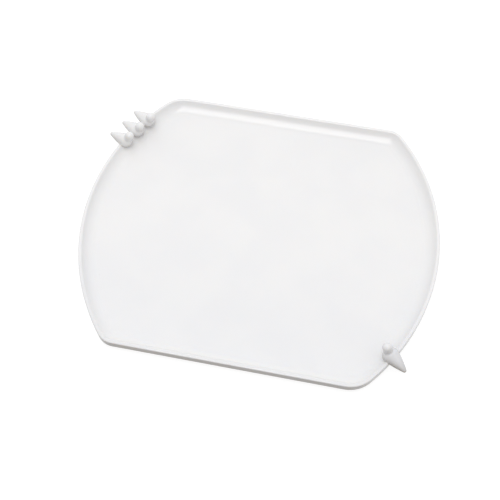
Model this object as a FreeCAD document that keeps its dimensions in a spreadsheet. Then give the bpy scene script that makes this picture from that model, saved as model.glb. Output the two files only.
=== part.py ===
import FreeCAD, Part
import math
import os

import Sketcher

# White glazed porcelain serving tray: a shallow well with two straight long sides and two arched
# ends, and thorn-shaped grips luted astride its rim.  Three stand in a row at the rear end of the
# left arch and one alone at the front end of the right arch.
# Frame: millimetres, +Z up, X along the tray, Y from front to rear, origin at the centre of the
# resting plane under the foot ring.

SIZES = {
    # plan
    "tray_length": 400.0,
    "tray_width": 332.4,
    "end_radius": 244.0,
    "tight_corner": 21.0,       # rear right and front left
    "soft_corner": 33.0,        # rear left and front right
    # heights
    "foot_height": 3.0,
    "slab_thickness": 5.0,
    "rim_rise": 8.5,            # floor of the well to the top of the rim
    "lip_face": 8.8,            # height of the rim's upright outer face
    # rim section, inwards from the outer face
    "lip_width": 3.4,
    "lip_round": 1.2,           # top and foot of the outer face
    "lip_inner_round": 2.0,
    "cove_width": 14.0,
    "under_reach": 16.0,        # outer face to the flat underside
    "slab_overlap": 2.0,
    # foot ring
    "foot_inset": 46.0,
    "foot_width": 6.0,
    "foot_corner": 18.0,
    "foot_round": 1.2,
    # thorn casting: an outward and an upright horn on one hub over the lip, each a teardrop with a
    # round root, a round end and a slightly bulging flank
    "hub_rise": 1.0,
    "out_droop": 5.0,           # degrees below horizontal
    "out_shift": 1.2,           # hub to the root's centre
    "out_root": 8.3,
    "out_flank": 130.0,
    "out_end": 2.2,
    "out_length": 23.8,         # hub to the end of the horn
    "up_lean": 24.0,            # degrees from upright, towards the well
    "up_shift": 4.0,
    "up_root": 4.7,
    "up_flank": 60.0,
    "up_end": 5.0,
    "up_length": 17.2,
    "crotch_round": 2.0,
}

# The thorns are made and set by hand, so each has its own: arch (1 right, -1 left), angle along that
# arch from the X axis (positive towards the rear), inset of its hub from the rim's outer face, twist
# about Z, tilt about the outward horn, and girth of its roots as a multiple of the sizes above.
# Angles are in degrees.
THORNS = {
    "rear_left_thorn_front": (-1, 21.8, 5.2, -0.7, 9.0, 1.0),
    "rear_left_thorn_middle": (-1, 26.5, 6.3, 0.4, 3.5, 1.0),
    "rear_left_thorn_rear": (-1, 31.1, 6.2, 2.8, 0.0, 1.0),
    "front_right_thorn": (1, -31.0, 5.3, -9.5, 8.0, 1.07),
}

START, END, CENTRE = 1, 2, 3    # a sketch edge's points
ORIGIN = (-1, START)
X_AXIS, Y_AXIS = -1, -2

doc = FreeCAD.newDocument("thorn_tray")


def make_sheet():
    sheet = doc.addObject("Spreadsheet::Sheet", "Sizes")
    for row, (name, value) in enumerate(SIZES.items(), start=1):
        sheet.set("A%d" % row, name)
        sheet.set("B%d" % row, str(value))
        sheet.setAlias("B%d" % row, name)
    doc.recompute()


def expression(text):
    """Writes each size's name in text as a reference to its cell."""
    words = text.split(" ")
    return " ".join("Sizes." + word if word in SIZES else word for word in words)


def value(text):
    """The number that an expression of plain sums and products comes to."""
    result = doc.getObject("Sizes").evalExpression(expression(text))
    return float(getattr(result, "Value", result))


def bind(target, prop, text):
    target.setExpression(prop, expression(text))


def new_sketch(body, name, role):
    sketch = body.newObject("Sketcher::SketchObject", name)
    planes = [plane for plane in body.Origin.OriginFeatures if plane.Role == role]
    sketch.AttachmentSupport = [(planes[0], "")]
    sketch.MapMode = "FlatFace"
    return sketch


def constrain(sketch, kind, *places, text=None):
    """Adds a constraint, and binds its size to the sheet where text gives one."""
    if text is None:
        sketch.addConstraint(Sketcher.Constraint(kind, *places))
        return
    index = sketch.addConstraint(Sketcher.Constraint(kind, *places, value(text)))
    bind(sketch, "Constraints[%d]" % index, text)


def arc(centre, radius, start, end):
    """The counter-clockwise arc about centre from start to end, all (x, y)."""
    angles = [math.atan2(y - centre[1], x - centre[0]) for x, y in (start, end)]
    if angles[1] <= angles[0]:
        angles[1] += 2 * math.pi
    middle = FreeCAD.Vector(centre[0], centre[1], 0)
    return Part.ArcOfCircle(Part.Circle(middle, FreeCAD.Vector(0, 0, 1), radius), *angles)


def line(start, end):
    return Part.LineSegment(FreeCAD.Vector(*start, 0), FreeCAD.Vector(*end, 0))


def corner(side_x, side_y, inset, radius):
    """A corner round's centre, and where it meets the straight side and the arch, all (x, y)."""
    half_length = SIZES["tray_length"] / 2 - inset
    half_width = SIZES["tray_width"] / 2 - inset
    end_radius = SIZES["end_radius"] - inset
    rise = half_width - radius
    run = math.sqrt((end_radius - radius) ** 2 - rise ** 2)
    arch_x = half_length - end_radius
    centre = (side_x * (arch_x + run), side_y * rise)
    on_side = (centre[0], side_y * half_width)
    stretch = end_radius / (end_radius - radius)
    on_arch = (side_x * (arch_x + run * stretch), side_y * rise * stretch)
    return centre, on_side, on_arch


def draw_outline(sketch, inset, tight, soft):
    """Draws the tray's outline, set in by inset, from the middle of the rear side and round by the
    left; inset, tight and soft are expressions."""
    first = sketch.GeometryCount
    depth, small, large = value(inset), value(tight), value(soft)
    half_width = SIZES["tray_width"] / 2 - depth
    arch_x = SIZES["tray_length"] / 2 - SIZES["end_radius"]
    end_radius = SIZES["end_radius"] - depth
    rear_left = corner(-1, 1, depth, large)
    front_left = corner(-1, -1, depth, small)
    front_right = corner(1, -1, depth, large)
    rear_right = corner(1, 1, depth, small)
    middle = (0.0, half_width)
    sketch.addGeometry([
        line(middle, rear_left[1]),
        arc(rear_left[0], large, rear_left[1], rear_left[2]),
        arc((-arch_x, 0.0), end_radius, rear_left[2], front_left[2]),
        arc(front_left[0], small, front_left[2], front_left[1]),
        line(front_left[1], front_right[1]),
        arc(front_right[0], large, front_right[1], front_right[2]),
        arc((arch_x, 0.0), end_radius, front_right[2], rear_right[2]),
        arc(rear_right[0], small, rear_right[2], rear_right[1]),
        line(rear_right[1], middle),
    ])
    rear, left_arch, front, right_arch, rear_end = (first + step for step in (0, 2, 4, 6, 8))
    for edge in range(rear, rear_end):
        constrain(sketch, "Tangent", edge, END, edge + 1, START)
    constrain(sketch, "Coincident", rear_end, END, rear, START)
    for edge in (rear, front, rear_end):
        constrain(sketch, "Horizontal", edge)
    constrain(sketch, "PointOnObject", rear, START, Y_AXIS)
    for arch, sign in ((left_arch, "-"), (right_arch, "")):
        constrain(sketch, "PointOnObject", arch, CENTRE, X_AXIS)
        constrain(sketch, "Radius", arch, text="end_radius - " + inset)
    constrain(sketch, "DistanceX", right_arch, CENTRE, *ORIGIN, text="end_radius - tray_length / 2")
    constrain(sketch, "DistanceX", *ORIGIN, left_arch, CENTRE, text="end_radius - tray_length / 2")
    constrain(sketch, "DistanceY", *ORIGIN, rear, START, text="tray_width / 2 - " + inset)
    constrain(sketch, "DistanceY", front, START, *ORIGIN, text="tray_width / 2 - " + inset)
    for step, radius in ((1, soft), (3, tight), (5, soft), (7, tight)):
        constrain(sketch, "Radius", first + step, text=radius)


def draw_rim_section(sketch):
    """Draws the rim's section at the middle of the rear side, X outwards and Y up, from the foot of
    its outer face and over the lip."""
    face = value("tray_width / 2")
    top = value("foot_height + slab_thickness + rim_rise")
    floor = value("foot_height + slab_thickness")
    base = value("foot_height")
    lip = SIZES["lip_round"]
    inner_lip = SIZES["lip_inner_round"]
    inner = face - SIZES["under_reach"] - SIZES["slab_overlap"]

    cove_text = "( cove_width ^ 2 + rim_rise ^ 2 ) / ( 2 * rim_rise )"
    cove_radius = value(cove_text)
    cove = (face - SIZES["lip_width"] - SIZES["cove_width"], floor + cove_radius)
    lip_drop = cove[1] - (top - inner_lip)
    lip_run = math.sqrt((cove_radius + inner_lip) ** 2 - lip_drop ** 2)
    lip_inner = (cove[0] + lip_run, top - inner_lip)
    share = cove_radius / (cove_radius + inner_lip)
    cove_top = (cove[0] + lip_run * share, cove[1] - lip_drop * share)

    under_rise = "( slab_thickness + rim_rise - lip_face )"
    under_text = "( under_reach ^ 2 + %s ^ 2 ) / ( 2 * %s )" % (under_rise, under_rise)
    under_radius = value(under_text)
    under = (face - SIZES["under_reach"], base + under_radius)
    low_run = SIZES["under_reach"] - lip
    low_drop = math.sqrt((under_radius - lip) ** 2 - low_run ** 2)
    low = (face - lip, under[1] - low_drop)
    share = under_radius / (under_radius - lip)
    under_top = (under[0] + low_run * share, under[1] - low_drop * share)

    sketch.addGeometry([
        line((face, low[1]), (face, top - lip)),
        arc((face - lip, top - lip), lip, (face, top - lip), (face - lip, top)),
        line((face - lip, top), (lip_inner[0], top)),
        arc(lip_inner, inner_lip, (lip_inner[0], top), cove_top),
        arc(cove, cove_radius, (cove[0], floor), cove_top),
        line((cove[0], floor), (inner, floor)),
        line((inner, floor), (inner, base)),
        line((inner, base), (under[0], base)),
        arc(under, under_radius, (under[0], base), under_top),
        arc(low, lip, under_top, (face, low[1])),
    ])
    outer_face, outer_round, lip_top, inner_round, cove_arc = range(5)
    floor_line, inner_end, base_line, under_arc, low_round = range(5, 10)
    for pair in (
        (outer_face, END, outer_round, START),
        (outer_round, END, lip_top, START),
        (lip_top, END, inner_round, START),
        (inner_round, END, cove_arc, END),
        (cove_arc, START, floor_line, START),
        (base_line, END, under_arc, START),
        (under_arc, END, low_round, START),
        (low_round, END, outer_face, START),
    ):
        constrain(sketch, "Tangent", *pair)
    constrain(sketch, "Coincident", floor_line, END, inner_end, START)
    constrain(sketch, "Coincident", inner_end, END, base_line, START)
    for edge in (outer_face, inner_end):
        constrain(sketch, "Vertical", edge)
    for edge in (lip_top, floor_line, base_line):
        constrain(sketch, "Horizontal", edge)
    for edge in (outer_round, low_round):
        constrain(sketch, "Radius", edge, text="lip_round")
    constrain(sketch, "Radius", inner_round, text="lip_inner_round")
    constrain(sketch, "Radius", cove_arc, text=cove_text)
    constrain(sketch, "Radius", under_arc, text=under_text)
    constrain(sketch, "DistanceX", *ORIGIN, outer_face, END, text="tray_width / 2")
    constrain(sketch, "DistanceX", *ORIGIN, cove_arc, CENTRE,
              text="tray_width / 2 - lip_width - cove_width")
    constrain(sketch, "DistanceX", *ORIGIN, under_arc, CENTRE, text="tray_width / 2 - under_reach")
    constrain(sketch, "DistanceX", *ORIGIN, inner_end, START,
              text="tray_width / 2 - under_reach - slab_overlap")
    constrain(sketch, "DistanceY", *ORIGIN, lip_top, START,
              text="foot_height + slab_thickness + rim_rise")
    constrain(sketch, "DistanceY", *ORIGIN, floor_line, START, text="foot_height + slab_thickness")
    constrain(sketch, "DistanceY", *ORIGIN, base_line, START, text="foot_height")


def make_tray():
    """The rim's section swept round the outline, with the slab and the foot ring."""
    body = doc.addObject("PartDesign::Body", "tray_body")
    body.Label = "tray_body"

    outline = new_sketch(body, "tray_outline", "XY_Plane")
    draw_outline(outline, "0", "tight_corner", "soft_corner")
    section = new_sketch(body, "rim_section", "YZ_Plane")
    draw_rim_section(section)
    doc.recompute()
    rim = body.newObject("PartDesign::AdditivePipe", "rim")
    rim.Profile = section
    rim.Spine = outline
    rim.Mode = "Standard"
    doc.recompute()

    slab_outline = new_sketch(body, "slab_outline", "XY_Plane")
    draw_outline(slab_outline, "under_reach", "tight_corner - under_reach",
                 "soft_corner - under_reach")
    bind(slab_outline, "AttachmentOffset.Base.z", "foot_height")
    slab = body.newObject("PartDesign::Pad", "slab")
    slab.Profile = slab_outline
    bind(slab, "Length", "slab_thickness")
    doc.recompute()

    foot_outline = new_sketch(body, "foot_outline", "XY_Plane")
    draw_outline(foot_outline, "foot_inset", "foot_corner", "foot_corner")
    draw_outline(foot_outline, "( foot_inset + foot_width )", "foot_corner - foot_width",
                 "foot_corner - foot_width")
    bind(foot_outline, "AttachmentOffset.Base.z", "foot_height")
    foot = body.newObject("PartDesign::Pad", "foot_ring")
    foot.Profile = foot_outline
    foot.Reversed = True
    bind(foot, "Length", "foot_height")
    doc.recompute()

    rounded = body.newObject("PartDesign::Fillet", "foot_rounds")
    rounded.Base = (foot, edges_at_height(foot.Shape, 0.0))
    bind(rounded, "Radius", "foot_round")
    doc.recompute()
    return body


def edges_at_height(shape, height):
    """Names of the edges that lie wholly at one height."""
    names = []
    for number, edge in enumerate(shape.Edges, start=1):
        box = edge.BoundBox
        if abs(box.ZMin - height) < 1e-6 and abs(box.ZMax - height) < 1e-6:
            names.append("Edge%d" % number)
    return names


def draw_horn(sketch, horn, girth):
    """Draws half a horn's outline over the X axis, from its end to its root, where horn is the first
    word of the names of its sizes."""
    shift, root, flank, end, length = (
        SIZES[horn + size] for size in ("_shift", "_root", "_flank", "_end", "_length"))
    root *= girth
    tip = length - end
    spread = tip - shift
    along = (spread ** 2 + (flank - root) ** 2 - (flank - end) ** 2) / (2 * spread)
    below = math.sqrt((flank - root) ** 2 - along ** 2)
    middle = (shift + along, -below)
    past_root = root / (flank - root)
    past_end = end / (flank - end)
    on_root = (shift - along * past_root, below * past_root)
    on_end = (tip + (spread - along) * past_end, below * past_end)
    sketch.addGeometry([
        arc((tip, 0.0), end, (length, 0.0), on_end),
        arc(middle, flank, on_end, on_root),
        arc((shift, 0.0), root, on_root, (shift - root, 0.0)),
        line((shift - root, 0.0), (length, 0.0)),
    ])
    end_arc, flank_arc, root_arc, axis = range(4)
    constrain(sketch, "Tangent", end_arc, END, flank_arc, START)
    constrain(sketch, "Tangent", flank_arc, END, root_arc, START)
    constrain(sketch, "Coincident", root_arc, END, axis, START)
    constrain(sketch, "Coincident", axis, END, end_arc, START)
    for edge in (end_arc, root_arc):
        constrain(sketch, "PointOnObject", edge, CENTRE, X_AXIS)
    constrain(sketch, "PointOnObject", axis, START, X_AXIS)
    constrain(sketch, "PointOnObject", axis, END, X_AXIS)
    constrain(sketch, "Radius", end_arc, text=horn + "_end")
    constrain(sketch, "Radius", flank_arc, text=horn + "_flank")
    constrain(sketch, "Radius", root_arc, text="%g * %s_root" % (girth, horn))
    constrain(sketch, "DistanceX", *ORIGIN, root_arc, CENTRE, text=horn + "_shift")
    constrain(sketch, "DistanceX", *ORIGIN, axis, END, text=horn + "_length")


def make_horn(body, horn, rise, girth):
    """Turns one horn about its own axis, which leaves the hub at rise, an angle in degrees from +X
    towards +Z."""
    sketch = new_sketch(body, "%s_%s_outline" % (body.Name, horn), "XZ_Plane")
    sketch.AttachmentOffset = FreeCAD.Placement(
        FreeCAD.Vector(), FreeCAD.Rotation(FreeCAD.Vector(0, 0, 1), value(rise)))
    bind(sketch, "AttachmentOffset.Rotation.Angle", rise)
    draw_horn(sketch, horn, girth)
    doc.recompute()
    turned = body.newObject("PartDesign::Revolution", "%s_%s_horn" % (body.Name, horn))
    turned.Profile = sketch
    turned.ReferenceAxis = (sketch, ["H_Axis"])
    turned.Angle = 360.0
    doc.recompute()
    return turned


def make_thorn_blank(name, girth):
    """A thorn casting before it is seated, with its hub at the origin, its outward horn towards +X
    and its upright horn towards +Z."""
    body = doc.addObject("PartDesign::Body", name)
    out_horn = make_horn(body, "out", "-1 * out_droop", girth)
    up_horn = make_horn(body, "up", "90 + up_lean", girth)
    rounded = body.newObject("PartDesign::Fillet", name + "_crotch")
    rounded.Base = (up_horn, edges_between(out_horn, up_horn))
    bind(rounded, "Radius", "crotch_round")
    doc.recompute()
    return body


def surface_of(feature):
    """The surface of what one feature adds, in its body's frame."""
    added = feature.AddSubShape.copy()
    added.Placement = feature.Placement
    return added.Shells[0]


def edges_between(first, second):
    """Names of the edges where what the second feature adds meets what the first one added."""
    surfaces = (surface_of(first), surface_of(second))
    names = []
    for number, edge in enumerate(second.Shape.Edges, start=1):
        if edge.Degenerated:
            continue
        middle = Part.Vertex(edge.valueAt((edge.FirstParameter + edge.LastParameter) / 2))
        if all(middle.distToShape(surface)[0] < 1e-5 for surface in surfaces):
            names.append("Edge%d" % number)
    return names


def make_thorn(name, side, angle, inset, twist, tilt, girth, tray):
    """One casting in its place astride the rim, with its seat cut to the rim's own shape."""
    blank = make_thorn_blank(name + "_blank", girth)
    heading = angle if side > 0 else 180 - angle
    blank.Placement = FreeCAD.Placement(
        FreeCAD.Vector(), FreeCAD.Rotation(heading + twist, 0, tilt))
    arch = "%d * ( tray_length / 2 - end_radius )" % side
    reach = "( end_radius - %g )" % inset
    bind(blank, "Placement.Base.x", "%s + %s * cos( %s )" % (arch, reach, heading))
    bind(blank, "Placement.Base.y", "%s * sin( %s )" % (reach, heading))
    bind(blank, "Placement.Base.z", "foot_height + slab_thickness + rim_rise + hub_rise")
    thorn = doc.addObject("Part::Cut", name)
    thorn.Label = name
    thorn.Base = blank
    thorn.Tool = tray
    doc.recompute()
    return thorn


def check(parts):
    for item in doc.Objects:
        if "Invalid" in item.State or "Error" in item.State:
            raise RuntimeError(item.Name + " failed: " + ", ".join(item.State))
    for part in parts:
        if part.Shape.isNull() or not part.Shape.isValid():
            raise RuntimeError(part.Label + " has no valid shape")
        if len(part.Shape.Solids) != 1:
            raise RuntimeError(part.Label + " isn't one solid")


make_sheet()
tray_body = make_tray()
pieces = [tray_body]
for thorn_name, (arch_side, *pose) in THORNS.items():
    pieces.append(make_thorn(thorn_name, arch_side, *pose, tray_body))
doc.recompute()
check(pieces)
os.makedirs("parts", exist_ok=True)
for piece in pieces:
    piece.Shape.exportStep("parts/" + piece.Label + ".step")
    print(piece.Label, round(piece.Shape.Volume, 1), piece.Shape.optimalBoundingBox())
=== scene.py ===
import math

import bpy
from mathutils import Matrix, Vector


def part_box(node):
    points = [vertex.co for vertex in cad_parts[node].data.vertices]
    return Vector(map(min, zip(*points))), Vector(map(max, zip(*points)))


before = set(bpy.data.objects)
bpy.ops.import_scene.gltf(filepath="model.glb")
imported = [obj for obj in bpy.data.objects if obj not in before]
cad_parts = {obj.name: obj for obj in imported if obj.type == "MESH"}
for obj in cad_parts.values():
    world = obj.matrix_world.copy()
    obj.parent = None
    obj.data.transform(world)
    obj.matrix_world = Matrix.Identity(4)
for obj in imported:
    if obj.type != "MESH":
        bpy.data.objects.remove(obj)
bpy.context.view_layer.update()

MM = 0.001

# The glazes' colours.  A pair of coats is a thin one, then a thick one; the thick one also serves
# as painted shade.
TRAY_COATS = (0.812, 0.806, 0.800), (0.765, 0.766, 0.775)
ROW_COATS = (0.82, 0.815, 0.812), (0.80, 0.795, 0.792)
LONE_COATS = (0.77, 0.765, 0.77), (0.69, 0.69, 0.705)
# Painted light on the front cove's rear-facing inside, and painted shade on the front lip top.
PAINTED_COVE_LIGHT = (0.835, 0.83, 0.82)
PAINTED_LIP_SHADE = (0.745, 0.745, 0.75)
# Painted contact shade round each casting's seat.
PAINTED_SEAT_SHADE = (0.34, 0.31, 0.265)
BISCUIT = (0.66, 0.61, 0.54), (0.76, 0.72, 0.65)

# Least and most roughness, and where the painted shade is strongest and where it ends: tray along
# Y, castings along Z.
TRAY_GLOSS = (0.05, 0.10)
CASTING_GLOSS = (0.08, 0.15)
# Painted shade: darker and cooler towards the tray's front, and darker low on each casting.
TRAY_PAINTED_SHADE_SPAN = (-170 * MM, 30 * MM)
CASTING_PAINTED_SHADE_SPAN = (26.0 * MM, 33.0 * MM)

# How far the painted shade and the clouds take a coat from thin to thick, and the noises' sizes.
PAINTED_SHADE_SHARE = 0.65
CLOUD_SHARE = 0.35
CLOUD_SIZE = 55 * MM
STREAK_SIZE = 12 * MM

# A ripple's length and height.
SLOW_RIPPLE = 45 * MM, 0.10 * MM
FINE_RIPPLE = 2.2 * MM, 0.007 * MM

SPECK_SPACING = 9 * MM
SPECK_RADIUS = 0.16 * MM
SPECK_RARITY = 0.86
SPECK_DEPTH = 0.55
SPECK_COLOUR = (0.33, 0.26, 0.20)

PAPER = (1.0, 1.0, 1.0)
PAPER_REACH = 3.0
PAPER_GREY = 0.30
PAPER_GLOW = 0.78
DOME_FRONT = (0.41, 0.39, 0.37)
DOME_REAR = (0.965, 0.972, 0.99)
LOW_FRONT = (0.23, 0.195, 0.155)
LOW_REAR = (0.85, 0.85, 0.85)
ABOVE_AND_BEHIND = (0.0, 0.7071, 0.7071)
SOFTBOX_PLACE = (-0.2, -0.4)
SOFTBOX_HEIGHT = 3.0
SOFTBOX_SIZE = 1.2, 2.8
SOFTBOX_POWER = 32.0

CAMERA_ELEVATION = math.radians(60.0)
CAMERA_AZIMUTH = math.radians(11.27)
CAMERA_DISTANCE = 0.9886
CAMERA_TARGET = (-0.00544, -0.0285)
CAMERA_LENS = 64.656


def material(name):
    """A new node material, with its tree and its shader."""
    made = bpy.data.materials.new(name)
    made.use_nodes = True
    tree = made.node_tree
    return made, tree, tree.nodes["Principled BSDF"]


def add(tree, kind, **settings):
    """A new node, with its properties and its unlinked inputs set by name."""
    node = tree.nodes.new("ShaderNode" + kind)
    for name, setting in settings.items():
        if hasattr(node, name):
            setattr(node, name, setting)
        else:
            node.inputs[name.replace("_", " ")].default_value = setting
    return node


def split(tree, vector):
    """The X, Y and Z of a vector socket."""
    node = add(tree, "SeparateXYZ")
    tree.links.new(vector, node.inputs[0])
    return node.outputs


def combine(tree, operation, first, second):
    """One number made from two by a Math node."""
    node = add(tree, "Math", operation=operation)
    tree.links.new(first, node.inputs[0])
    tree.links.new(second, node.inputs[1])
    return node.outputs[0]


def remap(tree, source, low, high, to_low, to_high):
    """Takes source from the range low to high onto the range to_low to to_high, with soft ends."""
    node = add(tree, "MapRange", interpolation_type="SMOOTHSTEP")
    for name, setting in zip(("From Min", "From Max", "To Min", "To Max"),
                             (low, high, to_low, to_high)):
        node.inputs[name].default_value = setting
    tree.links.new(source, node.inputs["Value"])
    return node.outputs["Result"]


def noise(tree, place, size, detail, seed):
    """Noise whose lumps are about size metres across."""
    node = add(tree, "TexNoise", noise_dimensions="4D", Scale=1 / size, Detail=detail, W=seed)
    tree.links.new(place, node.inputs["Vector"])
    return node.outputs["Fac"]


def blend(tree, share, first, second):
    """Mixes two colours, each a socket or (r, g, b)."""
    node = add(tree, "Mix", data_type="RGBA")
    share_in, first_in, second_in = node.inputs[0], node.inputs[6], node.inputs[7]
    tree.links.new(share, share_in)
    for end, colour in ((first_in, first), (second_in, second)):
        if isinstance(colour, bpy.types.NodeSocket):
            tree.links.new(colour, end)
        else:
            end.default_value = (*colour, 1.0)
    return node.outputs[2]


def overlay(tree, shader, share, colour):
    """Lays a colour over the shader's own where share is 1."""
    beneath = shader.inputs["Base Color"].links[0].from_socket
    tree.links.new(blend(tree, share, beneath, colour), shader.inputs["Base Color"])


def speckle(tree, place, colour):
    """The colour with a fine iron speck in about one cell in seven."""
    cells = add(tree, "TexVoronoi", Scale=1 / SPECK_SPACING)
    tree.links.new(place, cells.inputs["Vector"])
    dot = remap(tree, cells.outputs["Distance"], SPECK_RADIUS / SPECK_SPACING,
                1.6 * SPECK_RADIUS / SPECK_SPACING, 1.0, 0.0)
    pick = add(tree, "SeparateColor")
    tree.links.new(cells.outputs["Color"], pick.inputs["Color"])
    chosen = remap(tree, pick.outputs["Red"], SPECK_RARITY, SPECK_RARITY + 0.01, 0.0, SPECK_DEPTH)
    return blend(tree, combine(tree, "MULTIPLY", dot, chosen), colour, SPECK_COLOUR)


def ripple(tree, place, shader, seed):
    """Bumps the glaze in long low waves, with a fine grain over them."""
    slow = add(tree, "Bump", Strength=1.0, Distance=SLOW_RIPPLE[1])
    tree.links.new(noise(tree, place, SLOW_RIPPLE[0], 1.0, seed), slow.inputs["Height"])
    fine = add(tree, "Bump", Strength=1.0, Distance=FINE_RIPPLE[1])
    tree.links.new(noise(tree, place, FINE_RIPPLE[0], 1.5, seed + 2.0), fine.inputs["Height"])
    tree.links.new(slow.outputs["Normal"], fine.inputs["Normal"])
    tree.links.new(fine.outputs["Normal"], shader.inputs["Normal"])


def glaze(name, coats, gloss, seed, axis, shade_span):
    """White glaze over porcelain, faintly rippled, with rare fine iron specks.

    It is thicker in clouds, and painted darker as shade along the axis: shade_span gives where
    along the axis the painted shade is strongest and where it ends.  gloss gives the least and most
    roughness.
    """
    made, tree, shader = material(name)
    place = add(tree, "TexCoord").outputs["Object"]

    clouds = remap(tree, noise(tree, place, CLOUD_SIZE, 3.0, seed), 0.35, 0.65, 0.0, CLOUD_SHARE)
    # Painted shade: the thick coat laid along the axis, towards the tray's front and low on each
    # casting.
    painted_shade = remap(tree, split(tree, place)[axis], *shade_span, PAINTED_SHADE_SHARE, 0.0)
    colour = blend(tree, combine(tree, "ADD", clouds, painted_shade), *coats)
    tree.links.new(speckle(tree, place, colour), shader.inputs["Base Color"])

    streaks = noise(tree, place, STREAK_SIZE, 4.0, seed + 3.0)
    tree.links.new(remap(tree, streaks, 0.3, 0.7, *gloss), shader.inputs["Roughness"])
    shader.inputs["IOR"].default_value = 1.5
    shader.inputs["Subsurface Weight"].default_value = 0.12
    shader.inputs["Subsurface Radius"].default_value = (1.0, 0.8, 0.6)
    shader.inputs["Subsurface Scale"].default_value = 1.5 * MM
    ripple(tree, place, shader, seed + 5.0)
    return made, tree, shader, place


def bare_foot(tree, shader, place):
    """Leaves the foot ring's resting edge unglazed: matt, warmer and finely grained."""
    bare = remap(tree, split(tree, place)["Z"], 0.7 * MM, 1.0 * MM, 1.0, 0.0)
    grain = noise(tree, place, 0.6 * MM, 3.0, 11.0)
    overlay(tree, shader, bare, blend(tree, grain, *BISCUIT))
    gloss = shader.inputs["Roughness"].links[0].from_socket
    rough = add(tree, "Mix", data_type="FLOAT", B=0.8)
    tree.links.new(bare, rough.inputs[0])
    tree.links.new(gloss, rough.inputs[2])
    tree.links.new(rough.outputs[0], shader.inputs["Roughness"])


def paint_front_cove_light_and_lip_shade(tree, shader, place):
    """Along the front, paints light on the cove's steep, rear-facing inside and paints shade on the
    lip top.
    """
    across = split(tree, place)
    front = remap(tree, across["Y"], -150 * MM, -60 * MM, 1.0, 0.0)
    facing = split(tree, add(tree, "NewGeometry").outputs["Normal"])
    rear_facing_cove = remap(tree, facing["Y"], 0.20, 0.65, 0.0, 1.0)
    rim_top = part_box("tray_body")[1][2]
    lip_top = remap(tree, across["Z"], rim_top - 0.8 * MM, rim_top, 0.0, 1.0)
    # Painted light on the front cove's rear-facing inside, painted shade on the front lip top.
    for where, painted_tone in ((rear_facing_cove, PAINTED_COVE_LIGHT), (lip_top, PAINTED_LIP_SHADE)):
        overlay(tree, shader, combine(tree, "MULTIPLY", where, front), painted_tone)


def paint_seat_shade(tree, shader, place, strength, reach):
    """Paints contact shade round a casting's seat, strongest from 3 mm below the rim top down,
    fading out by reach over the rim.
    """
    rim_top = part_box("tray_body")[1][2]
    # Painted contact shade, strongest below the rim top and fading upwards.
    share = remap(tree, split(tree, place)["Z"], rim_top - 3.0 * MM, rim_top + reach,
                  strength, 0.0)
    overlay(tree, shader, share, PAINTED_SEAT_SHADE)


def dress(node, made):
    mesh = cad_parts[node].data
    mesh.materials.clear()
    mesh.materials.append(made)


def dress_all():
    """The tray, then each casting with a glaze of its own.  The lone casting's glaze is darker and
    cooler than the row's, and its painted seat shade is stronger and reaches higher."""
    made, *parts = glaze("tray_glaze", TRAY_COATS, TRAY_GLOSS, 0.0, "Y", TRAY_PAINTED_SHADE_SPAN)
    paint_front_cove_light_and_lip_shade(*parts)
    bare_foot(*parts)
    dress("tray_body", made)
    castings = sorted(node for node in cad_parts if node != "tray_body")
    for number, node in enumerate(castings):
        in_row = "left" in node
        made, *parts = glaze("glaze_of_" + node, ROW_COATS if in_row else LONE_COATS,
                             CASTING_GLOSS, 20.0 + number, "Z", CASTING_PAINTED_SHADE_SPAN)
        paint_seat_shade(*parts, *((0.4, 3.0 * MM) if in_row else (0.5, 8.0 * MM)))
        dress(node, made)


def make_floor():
    """A sheet of white paper, clear from below so that the underside can be looked at."""
    mesh = bpy.data.meshes.new("floor")
    corners = [(-PAPER_REACH, -PAPER_REACH, 0), (PAPER_REACH, -PAPER_REACH, 0),
               (PAPER_REACH, PAPER_REACH, 0), (-PAPER_REACH, PAPER_REACH, 0)]
    mesh.from_pydata(corners, [], [(0, 1, 2, 3)])
    floor = bpy.data.objects.new("floor", mesh)
    bpy.context.scene.collection.objects.link(floor)
    made, tree, shader = material("floor_paper")
    shader.inputs["Base Color"].default_value = (PAPER_GREY, PAPER_GREY, PAPER_GREY, 1.0)
    shader.inputs["Roughness"].default_value = 0.9
    shader.inputs["Specular IOR Level"].default_value = 0.0
    shader.inputs["Emission Color"].default_value = (*PAPER, 1.0)
    shader.inputs["Emission Strength"].default_value = PAPER_GLOW
    behind = add(tree, "NewGeometry").outputs["Backfacing"]
    see_through = add(tree, "MixShader")
    tree.links.new(behind, see_through.inputs[0])
    tree.links.new(shader.outputs[0], see_through.inputs[1])
    tree.links.new(add(tree, "BsdfTransparent").outputs[0], see_through.inputs[2])
    tree.links.new(see_through.outputs[0], tree.nodes["Material Output"].inputs["Surface"])
    mesh.materials.append(made)
    floor.visible_diffuse = False
    floor.visible_glossy = False


def aim(item, place, target):
    item.location = place
    item.rotation_euler = (Vector(target) - Vector(place)).to_track_quat("-Z", "Y").to_euler()


def area_light(name, place, target, width, depth, power):
    data = bpy.data.lights.new(name, "AREA")
    data.shape = "RECTANGLE"
    data.size = width
    data.size_y = depth
    data.energy = power
    light = bpy.data.objects.new(name, data)
    bpy.context.scene.collection.objects.link(light)
    aim(light, place, target)


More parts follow.
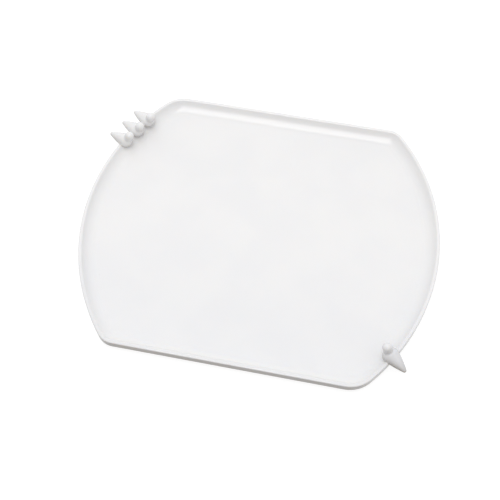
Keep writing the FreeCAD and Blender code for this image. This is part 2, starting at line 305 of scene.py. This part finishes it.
def make_lights():
    """A pale studio: a dome, brightest above and behind, a dark side low towards the front, and one
    long softbox overhead."""
    world = bpy.data.worlds.new("studio")
    world.use_nodes = True
    tree = world.node_tree
    place = add(tree, "TexCoord").outputs["Generated"]
    direction = split(tree, place)

    towards = add(tree, "VectorMath", operation="DOT_PRODUCT")
    towards.inputs[1].default_value = ABOVE_AND_BEHIND
    tree.links.new(place, towards.inputs[0])
    upper_share = add(tree, "MapRange")
    upper_share.inputs["From Min"].default_value = -1.0
    tree.links.new(towards.outputs["Value"], upper_share.inputs["Value"])
    upper = blend(tree, upper_share.outputs["Result"], DOME_FRONT, DOME_REAR)
    lower_share = remap(tree, direction["Y"], -0.75, 0.25, 0.0, 1.0)
    lower = blend(tree, lower_share, LOW_FRONT, LOW_REAR)
    horizon = remap(tree, direction["Z"], -0.03, 0.05, 0.0, 1.0)
    room = blend(tree, horizon, lower, upper)
    seen = add(tree, "LightPath").outputs["Is Camera Ray"]
    tree.links.new(blend(tree, seen, room, PAPER), tree.nodes["Background"].inputs["Color"])
    bpy.context.scene.world = world

    area_light("top_softbox", (*SOFTBOX_PLACE, SOFTBOX_HEIGHT), (*SOFTBOX_PLACE, 0.0),
               *SOFTBOX_SIZE, SOFTBOX_POWER)


def make_camera():
    """The photo's view: high from the front, a little to the right, aimed at the rim's height."""
    target = Vector((*CAMERA_TARGET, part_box("tray_body")[1][2]))
    back = Vector((math.sin(CAMERA_AZIMUTH) * math.cos(CAMERA_ELEVATION),
                   -math.cos(CAMERA_AZIMUTH) * math.cos(CAMERA_ELEVATION),
                   math.sin(CAMERA_ELEVATION)))
    data = bpy.data.cameras.new("camera")
    data.sensor_width = 36.0
    data.lens = CAMERA_LENS
    camera = bpy.data.objects.new("camera", data)
    bpy.context.scene.collection.objects.link(camera)
    aim(camera, target + back * CAMERA_DISTANCE, target)
    bpy.context.scene.camera = camera


dress_all()
make_floor()
make_lights()
make_camera()
bpy.context.scene.view_settings.view_transform = "Standard"
